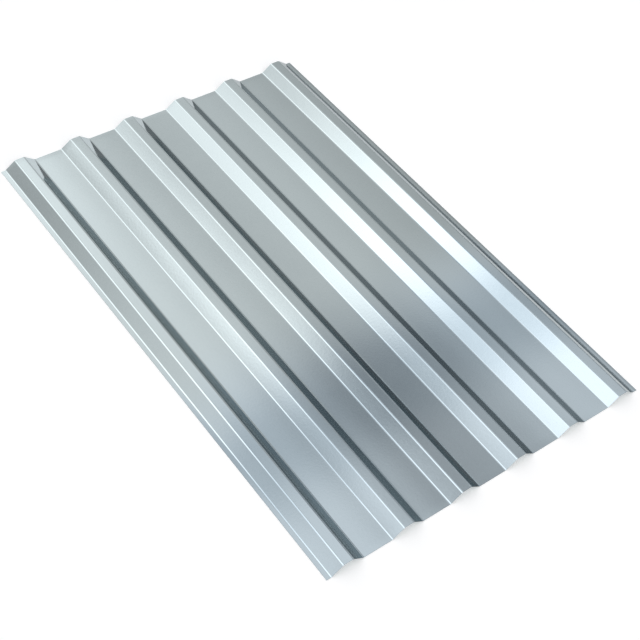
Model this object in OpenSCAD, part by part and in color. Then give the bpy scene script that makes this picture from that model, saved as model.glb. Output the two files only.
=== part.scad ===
// Corrugated metal sheet with trapezoidal ribs, roll-formed from one strip of galvanised steel.
// Lengths are in millimetres. The ribs run along Y, the sheet is wide along X and lies flat with Z up.
// The origin is the middle of the sheet at the level of the underside of its pans.

/* [Sheet] */
// Length of the sheet along its ribs
sheet_length = 1750; // [600:50:6000]
// Thickness of the metal
metal_thickness = 0.7; // [0.4:0.1:1.5]

/* [Ribs] */
// Number of ribs across the sheet
rib_count = 6; // [2:1:9]
// Distance between the centres of two neighbouring ribs
rib_pitch = 200; // [150:5:300]
// Height of a rib above the pans
rib_height = 27; // [15:1:45]
// Width of a rib across its crown, from bend to bend
crown_width = 32; // [20:1:50]
// Width of a rib across its foot, from bend to bend
foot_width = 104; // [80:1:125]
// Radius of the bends beside a crown, at the middle of the metal
crown_bend_radius = 9; // [3:0.5:10]
// Radius of the bends at a foot, at the middle of the metal
foot_bend_radius = 15; // [3:0.5:16]

/* [Side edges] */
// Width of the flat lip outside the first and the last rib
lip_width = 15; // [12:1:30]

/* [Hidden] */
$fn = 96;

zinc_color = [0.72, 0.75, 0.77];

// Bend corners of the section, from left to right: a lip's edge, four corners for each rib, a lip's edge.
// They lie on the middle line of the metal, which in the pans is half a thickness above the floor.
pan_level = metal_thickness / 2;
crown_level = pan_level + rib_height;
outer_foot = ((rib_count - 1) * rib_pitch + foot_width) / 2;
side_edge = outer_foot + lip_width;

function rib_center(i) = (i - (rib_count - 1) / 2) * rib_pitch;

function rib_corners(x) = [
    [x - foot_width / 2, pan_level],
    [x - crown_width / 2, crown_level],
    [x + crown_width / 2, crown_level],
    [x + foot_width / 2, pan_level]
];

corners = [
    [-side_edge, pan_level],
    for (i = [0 : rib_count - 1]) each rib_corners(rib_center(i)),
    [side_edge, pan_level]
];
last_corner = len(corners) - 1;

// Direction of the flat from corner i to the next one, along the metal and square to it.
function along(i) = let (run = corners[i + 1] - corners[i]) run / norm(run);
function across(i) = [-along(i).y, along(i).x];

// Turn that the metal makes at corner i, upward turns positive. The side edges make none.
function heading(i) = atan2(along(i).y, along(i).x);
function turn(i) = i == 0 || i == last_corner ? 0 : heading(i) - heading(i - 1);

// Radius of the bend at corner i, and the length that it takes from the flat on either side of it.
function bend_radius(i) = corners[i].y > pan_level ? crown_bend_radius : foot_bend_radius;
function setback(i) = bend_radius(i) * tan(abs(turn(i)) / 2);

// Step from the middle of the flat that leaves corner i to its upper face, 1, or its lower face, -1.
function to_face(i, face) = face * metal_thickness / 2 * across(i);

// Corners of that flat on either face, less what the bends at its ends take. The bends use the same points,
// so that a flat and a bend meet edge to edge at any size.
function flat_start(i, face) = corners[i] + setback(i) * along(i) + to_face(i, face);
function flat_end(i, face) = corners[i + 1] - setback(i + 1) * along(i) + to_face(i, face);

module flat_strip(i) {
    polygon([flat_start(i, -1), flat_end(i, -1), flat_end(i, 1), flat_start(i, 1)]);
}

// The bend at corner i: the sector of a ring between the flats before and after it.
module bend(i) {
    inside = sign(turn(i));
    outside = -inside;
    inner_radius = bend_radius(i) - metal_thickness / 2;
    center = flat_end(i - 1, inside) + inside * inner_radius * across(i - 1);
    beyond = 2 * corners[i] - center;
    intersection() {
        translate(center)
            difference() {
                circle(inner_radius + metal_thickness);
                circle(inner_radius);
            }
        polygon([
            flat_end(i - 1, inside),
            flat_end(i - 1, outside),
            beyond,
            flat_start(i, outside),
            flat_start(i, inside)
        ]);
    }
}

module sheet_section() {
    for (i = [0 : last_corner - 1])
        flat_strip(i);
    for (i = [1 : last_corner - 1])
        bend(i);
}

module corrugated_sheet() {
    color(zinc_color)
        rotate([90, 0, 0])
            linear_extrude(sheet_length, center = true)
                sheet_section();
}

corrugated_sheet();
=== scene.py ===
import math

import bmesh
import bpy
from mathutils import Matrix, Vector, noise


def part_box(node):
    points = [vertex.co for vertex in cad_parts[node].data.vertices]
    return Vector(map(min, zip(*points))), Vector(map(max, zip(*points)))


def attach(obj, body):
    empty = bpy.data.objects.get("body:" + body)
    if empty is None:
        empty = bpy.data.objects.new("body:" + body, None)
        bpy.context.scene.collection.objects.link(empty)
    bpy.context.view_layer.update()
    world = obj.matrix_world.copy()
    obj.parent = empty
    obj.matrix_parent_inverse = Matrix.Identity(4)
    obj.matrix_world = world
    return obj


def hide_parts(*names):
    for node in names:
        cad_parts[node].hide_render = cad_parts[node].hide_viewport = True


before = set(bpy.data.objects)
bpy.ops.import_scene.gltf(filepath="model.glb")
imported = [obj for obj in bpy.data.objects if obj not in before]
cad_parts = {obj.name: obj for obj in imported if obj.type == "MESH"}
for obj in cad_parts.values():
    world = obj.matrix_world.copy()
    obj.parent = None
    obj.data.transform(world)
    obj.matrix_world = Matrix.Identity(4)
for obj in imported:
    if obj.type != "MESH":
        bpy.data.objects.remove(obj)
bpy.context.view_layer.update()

mm = 0.001  # one millimetre in metres
print("frame loaded:", sorted(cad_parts))


# Small helpers

def hexColor(code):  # sRGB hex to linear RGBA
    levels = [int(code[i:i + 2], 16) / 255 for i in (1, 3, 5)]
    return [c / 12.92 if c <= 0.04045 else ((c + 0.055) / 1.055) ** 2.4 for c in levels] + [1.0]


def addNode(tree, kind, inputs=None, stops=None, **settings):  # a node with its settings, values and links
    node = tree.nodes.new(kind)
    for name, value in settings.items():
        setattr(node, name, value)
    for name, value in (inputs or {}).items():
        if isinstance(value, bpy.types.NodeSocket):
            tree.links.new(value, node.inputs[name])
        else:
            node.inputs[name].default_value = value
    for i, (place, color) in enumerate(stops or []):
        points = node.color_ramp.elements
        point = points[i] if i < 2 else points.new(place)
        point.position = place
        point.color = color
    return node


def newTree(owner):  # an empty node tree on a material or world
    owner.use_nodes = True
    owner.node_tree.nodes.clear()
    return owner.node_tree


def addObject(name, shape, material):  # a finished mesh at the origin
    mesh = bpy.data.meshes.new(name)
    shape.to_mesh(mesh)
    shape.free()
    piece = bpy.data.objects.new(name, mesh)
    bpy.context.scene.collection.objects.link(piece)
    mesh.materials.append(material)
    return piece


# Camera: stands off the near left corner and looks down on the sheet

camera = {
    "target": (-64.85, -166.56, 0),  # mm, the point in the middle of the picture
    "distance": 3758.06,  # mm
    "azimuth": -42.7145,  # degrees, 0 looks along +Y
    "elevation": 48.8083,
    "roll": 8.32,
    "lens": 71.16,  # mm
    "sensor": 36,  # mm
}


def addCamera():
    turn, tilt = math.radians(camera["azimuth"]), math.radians(camera["elevation"])
    back = Vector((math.sin(turn) * math.cos(tilt), -math.cos(turn) * math.cos(tilt), math.sin(tilt)))
    data = bpy.data.cameras.new("camera")
    data.sensor_width = camera["sensor"]
    data.lens = camera["lens"]
    holder = bpy.data.objects.new("camera", data)
    level = back.to_track_quat("Z", "Y").to_matrix().to_4x4()
    place = Matrix.Translation((Vector(camera["target"]) + back * camera["distance"]) * mm)
    holder.matrix_world = place @ level @ Matrix.Rotation(math.radians(camera["roll"]), 4, "Z")
    bpy.context.scene.collection.objects.link(holder)
    bpy.context.scene.camera = holder


addCamera()
print("camera placed")


# Studio: a white light tent, lit from the left, with a strip light there, a seam in the roof and a dark gap

tent = {
    "span": (-60, 80),  # degrees of lean that the lists run over: 0 is overhead, 90 is level towards +X
    "full": 2.0,  # most light that they can hold
    # the levels were set by comparing renders with the photograph
    "wall": [(-60, 0.5), (-51, 0.75), (-48, 0.75), (-46, 1.5), (-43, 0.8), (-42, 1.3), (-38, 1.6), (-18, 1.7),
             (6, 0.9), (7, 0.2), (10, 0.2), (11, 0.8), (25, 0.85), (30, 0.6), (34, 0.65), (38, 0.5),
             (48, 0.3), (61, 0.3), (66, 0.9), (74, 0.4)],  # light of the part that the sheet mirrors
    "depth": [(-60, 0.95), (-35, 0.8), (20, 0.95), (50, 0.7), (80, 0.9)],  # how far off the walls stand
    # what the light is multiplied by in each zone
    "near": [(-51, 1.2), (-45, 0.6), (-42, 0.6), (-38, 0.9), (25, 1.0), (30, 0.7), (34, 0.8), (37, 1.4),
             (60, 1.0), (66, 1.5), (70, 0.7)],
    "far": [(-51, 0.6), (-44, 0.9), (-40, 0.8), (-36, 0.5), (-12, 1.0), (23, 1.3), (27, 1.0), (75, 1.2)],
    "gap": 0.75,  # as dark at every lean
    # each zone's place along Y for a wall one metre off, how far from there it starts and where it is full
    "zones": {"near": (0.30, 0.39, 0.26), "gap": (0.535, 0.09, 0.01), "far": (1.30, 0.64, 0.30),
              "rest": (0.70, 0.36, 0.60)},
    "cast": {"near": "#F5F8FF", "gap": "#F8FCFF"},  # the walls are a little cooler there
    "rest": [(-60, 0.6), (-30, 1.0), (30, 1.0), (60, 0.6), (80, 0.45)],  # light of the tent all round
}


def addTent():
    world = bpy.data.worlds.new("light tent")
    bpy.context.scene.world = world
    tree = newTree(world)
    ray = addNode(tree, "ShaderNodeTexCoord").outputs["Generated"]
    part = addNode(tree, "ShaderNodeSeparateXYZ", {"Vector": ray}).outputs
    lean = addNode(tree, "ShaderNodeMath", {0: part["X"], 1: part["Z"]}, operation="ARCTAN2").outputs[0]
    first, last = tent["span"]
    place = addNode(tree, "ShaderNodeMapRange", {
        "Value": lean, "From Min": math.radians(first), "From Max": math.radians(last)}).outputs[0]
    over = {"gap": tent["gap"]}  # each list, read at the lean of the ray
    for name in ("wall", "depth", "near", "far", "rest"):
        stops = []
        for angle, level in tent[name]:
            stops.append(((angle - first) / (last - first), [level / tent["full"]] * 3 + [1]))
        ramp = addNode(tree, "ShaderNodeValToRGB", {"Fac": place}, stops).outputs["Color"]
        over[name] = addNode(tree, "ShaderNodeMath", {
            0: ramp, 1: tent["full"]}, operation="MULTIPLY").outputs[0]

    # place along Y where the ray meets a wall, and how much it is in each zone
    rise = addNode(tree, "ShaderNodeMath", {0: part["Y"]}, operation="ARCSINE").outputs[0]
    slope = addNode(tree, "ShaderNodeMath", {0: rise}, operation="TANGENT").outputs[0]
    along = addNode(tree, "ShaderNodeMath", {0: slope, 1: over["depth"]}, operation="DIVIDE").outputs[0]
    share = {}
    for name, (middle, start, full) in tent["zones"].items():
        offset = addNode(tree, "ShaderNodeMath", {0: along, 1: middle}, operation="SUBTRACT").outputs[0]
        away = addNode(tree, "ShaderNodeMath", {0: offset}, operation="ABSOLUTE").outputs[0]
        share[name] = addNode(tree, "ShaderNodeMapRange", {
            "Value": away, "From Min": start, "From Max": full}, interpolation_type="SMOOTHSTEP").outputs[0]

    light = over["wall"]
    for name in ("near", "gap", "far"):
        left = addNode(tree, "ShaderNodeMix", {0: share[name], 2: 1.0, 3: over[name]}).outputs[0]
        light = addNode(tree, "ShaderNodeMath", {0: light, 1: left}, operation="MULTIPLY").outputs[0]
    light = addNode(tree, "ShaderNodeMix", {0: share["rest"], 2: light, 3: over["rest"]}).outputs[0]
    white = hexColor("#FFFFFF")
    color = white
    for name, cast in tent["cast"].items():
        color = addNode(tree, "ShaderNodeMix", {
            0: share[name], 6: color, 7: hexColor(cast)}, data_type="RGBA", blend_type="MULTIPLY").outputs[2]
    color = addNode(tree, "ShaderNodeMix", {
        0: share["rest"], 6: color, 7: white}, data_type="RGBA").outputs[2]
    glow = addNode(tree, "ShaderNodeBackground", {"Color": color, "Strength": light}).outputs[0]
    addNode(tree, "ShaderNodeOutputWorld", {"Surface": glow})


floor = {
    "reach": 300000,  # mm
    "drop": 0.2,  # mm, it lies just under the sheet
    "color": "#F9F9F9",
    "glow": 0.2,  # brings the paper up to white for the camera and for what mirrors it
}


def addFloor():
    paper = bpy.data.materials.new("matt white paper")  # soft and even, shows only the sheet's own shadow
    tree = newTree(paper)
    ray = addNode(tree, "ShaderNodeLightPath").outputs
    seen = ray["Is Camera Ray"]
    for kind in ("Is Glossy Ray", "Is Transmission Ray"):
        seen = addNode(tree, "ShaderNodeMath", {0: seen, 1: ray[kind]}, operation="MAXIMUM").outputs[0]
    glow = addNode(tree, "ShaderNodeMath", {0: seen, 1: floor["glow"]}, operation="MULTIPLY").outputs[0]
    face = addNode(tree, "ShaderNodeBsdfPrincipled", {
        "Base Color": hexColor(floor["color"]), "Roughness": 1.0, "Specular IOR Level": 0.0,
        "Emission Strength": glow}).outputs[0]
    addNode(tree, "ShaderNodeOutputMaterial", {"Surface": face})
    shape = bmesh.new()
    bmesh.ops.create_grid(shape, x_segments=1, y_segments=1, size=floor["reach"] * mm)
    bmesh.ops.translate(shape, verts=shape.verts, vec=(0, 0, -floor["drop"] * mm))
    addObject("floor", shape, paper)


addTent()
addFloor()
print("studio lit")


# Hot-dip galvanised steel: zinc frozen on the strip, then rolled bright

zinc = {
    "pale": "#D7E3E5",
    "deep": "#D0DCDF",
    "cloud": 130,  # mm, size of the soft patches left by the zinc bath
    "crystal": 7,  # mm, spangle crystals, drawn coarser than the real 1 mm so that they show
    "relief": 0.02,  # mm, how far the crystals stand out of the surface
    "crystalShare": 0.3,  # share of the crystals in the tone, the rest is the patches
    "roughness": 0.07,
    "roughSpread": 0.02,  # how far the roughness strays either way
    "glance": "#C8C7C8",  # what the zinc still mirrors at a glancing view
}


def addZinc():  # bright and cool, with soft patches and a faint grain
    material = bpy.data.materials.new("hot-dip galvanised steel")
    tree = newTree(material)
    place = addNode(tree, "ShaderNodeTexCoord").outputs["Object"]
    cloud = addNode(tree, "ShaderNodeTexNoise", {
        "Vector": place, "Scale": 1 / (zinc["cloud"] * mm), "Detail": 2.0}).outputs["Fac"]
    crystal = addNode(tree, "ShaderNodeTexVoronoi", {
        "Vector": place, "Scale": 1 / (zinc["crystal"] * mm)}).outputs["Color"]
    tone = addNode(tree, "ShaderNodeMix", {
        0: zinc["crystalShare"], 6: cloud, 7: crystal}, data_type="RGBA").outputs[2]
    color = addNode(tree, "ShaderNodeMix", {
        0: tone, 6: hexColor(zinc["deep"]), 7: hexColor(zinc["pale"])}, data_type="RGBA").outputs[2]
    rough = addNode(tree, "ShaderNodeMapRange", {
        "Value": tone, "To Min": zinc["roughness"] - zinc["roughSpread"],
        "To Max": zinc["roughness"] + zinc["roughSpread"]}).outputs[0]
    height = addNode(tree, "ShaderNodeTexNoise", {
        "Vector": place, "Scale": 1 / (zinc["crystal"] * mm), "Detail": 1.0}).outputs["Fac"]
    relief = addNode(tree, "ShaderNodeBump", {
        "Height": height, "Strength": 1.0, "Distance": zinc["relief"] * mm}).outputs["Normal"]
    face = addNode(tree, "ShaderNodeBsdfPrincipled", {
        "Base Color": color, "Metallic": 1.0, "Roughness": rough, "Normal": relief,
        "Specular Tint": hexColor(zinc["glance"])}).outputs[0]
    addNode(tree, "ShaderNodeOutputMaterial", {"Surface": face})
    return material


# Sheared edge: bare steel where the coated strip was cut

cutEdge = {
    "pale": "#999A9A",
    "deep": "#7C7D7E",
    "grain": 3,  # mm, marks of the shear blade along the edge
    "roughness": 0.5,
    "roughSpread": 0.15,
}


def addCutEdge():  # dull and darker than the zinc, a thin line round the sheet
    material = bpy.data.materials.new("sheared steel edge")
    tree = newTree(material)
    place = addNode(tree, "ShaderNodeTexCoord").outputs["Object"]
    grain = addNode(tree, "ShaderNodeTexNoise", {
        "Vector": place, "Scale": 1 / (cutEdge["grain"] * mm), "Detail": 3.0}).outputs["Fac"]
    color = addNode(tree, "ShaderNodeMix", {
        0: grain, 6: hexColor(cutEdge["deep"]), 7: hexColor(cutEdge["pale"])}, data_type="RGBA").outputs[2]
    rough = addNode(tree, "ShaderNodeMapRange", {
        "Value": grain, "To Min": cutEdge["roughness"] - cutEdge["roughSpread"],
        "To Max": cutEdge["roughness"] + cutEdge["roughSpread"]}).outputs[0]
    face = addNode(tree, "ShaderNodeBsdfPrincipled", {
        "Base Color": color, "Metallic": 1.0, "Roughness": rough}).outputs[0]
    addNode(tree, "ShaderNodeOutputMaterial", {"Surface": face})
    return material


# Sheet: one strip folded into trapezoidal ribs

low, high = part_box("corrugated_sheet")

sheet = {
    "thickness": 0.7,  # mm
    "ribs": 6,
    "pitch": 200,  # mm from rib to rib
    "crown": 32,  # mm across a rib's top, from fold to fold
    "foot": 104,  # mm across its base
    "bend": 9,  # mm, radius of the folds at the middle of the metal
    "bendSegments": 10,  # faces round each fold
    "panCuts": 7,  # cuts across each pan
    "lengthCuts": 69,  # cuts along the sheet
    "wave": 0.08,  # mm, how far a pan bows out of true
    "waveLength": 320,  # mm
}
halfPan = (sheet["pitch"] - sheet["foot"]) * mm / 2


def sectionCorners():  # fold corners on the middle of the metal, from left to right
    half = sheet["thickness"] * mm / 2
    pan, crown = low.z + half, high.z - half
    corners = [(low.x, pan)]
    for i in range(sheet["ribs"]):
        center = (i - (sheet["ribs"] - 1) / 2) * sheet["pitch"]
        for side, width in ((-1, "foot"), (-1, "crown"), (1, "crown"), (1, "foot")):
            corners.append(((center + side * sheet[width] / 2) * mm, crown if width == "crown" else pan))
    return corners + [(high.x, pan)]


def foldSheet():
    corners = sectionCorners()
    shape = bmesh.new()
    points = [shape.verts.new((x, low.y, z)) for x, z in corners]
    strip = [shape.edges.new(pair) for pair in zip(points, points[1:])]
    drawn = bmesh.ops.extrude_edge_only(shape, edges=strip)["geom"]
    ends = [item for item in drawn if isinstance(item, bmesh.types.BMVert)]
    bmesh.ops.translate(shape, verts=ends, vec=(0, high.y - low.y, 0))
    bmesh.ops.recalc_face_normals(shape, faces=shape.faces)
    flank = Vector(corners[2]) - Vector(corners[1])
    taken = math.tan(math.atan2(flank.y, flank.x) / 2)  # of a flat by a fold, for each mm of its radius
    folds = [edge for edge in shape.edges if len(edge.link_faces) == 2]
    bmesh.ops.bevel(shape, geom=folds, offset=sheet["bend"] * mm * taken, offset_type="OFFSET",
                    affect="EDGES", segments=sheet["bendSegments"], profile=0.5, material=-1)
    return shape


def edgesAlong(shape, axis, shortest):  # edges within 45 degrees of an axis and longer than a length
    found = []
    for edge in shape.edges:
        run = edge.verts[1].co - edge.verts[0].co
        if abs(run[axis]) > run.length * math.cos(math.radians(45)) and run.length > shortest:
            found.append(edge)
    return found


def panDepth(x):  # 0 at the folds and on the ribs, 1 in the middle of a pan
    pitch = sheet["pitch"] * mm
    fromPan = abs((x / pitch + (sheet["ribs"] + 1) / 2) % 1 - 0.5) * pitch
    return max(0, 1 - (fromPan / halfPan) ** 2)


def wavePans(shape):  # the pans bow up a little between their folds
    for point in shape.verts:
        bow = 0.5 + 0.5 * noise.noise(point.co / (sheet["waveLength"] * mm))
        point.co.z += bow * panDepth(point.co.x) ** 2 * sheet["wave"] * mm


def buildSheet():
    shape = foldSheet()
    bmesh.ops.subdivide_edges(shape, edges=edgesAlong(shape, 0, halfPan), cuts=sheet["panCuts"])
    bmesh.ops.subdivide_edges(shape, edges=edgesAlong(shape, 1, 0), cuts=sheet["lengthCuts"])
    wavePans(shape)
    bmesh.ops.recalc_face_normals(shape, faces=shape.faces)
    for face in shape.faces:
        face.smooth = True
    piece = addObject("galvanised_sheet", shape, addZinc())
    wall = piece.modifiers.new("thickness", "SOLIDIFY")
    wall.thickness = sheet["thickness"] * mm
    wall.offset = 0
    wall.use_even_offset = True
    piece.data.materials.append(addCutEdge())
    wall.material_offset_rim = 1
    flats = piece.modifiers.new("flat shading", "WEIGHTED_NORMAL")
    flats.keep_sharp = True
    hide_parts("corrugated_sheet")
    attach(piece, "root")
    return piece


buildSheet()
print("sheet folded")

bpy.context.scene.view_settings.view_transform = "Standard"
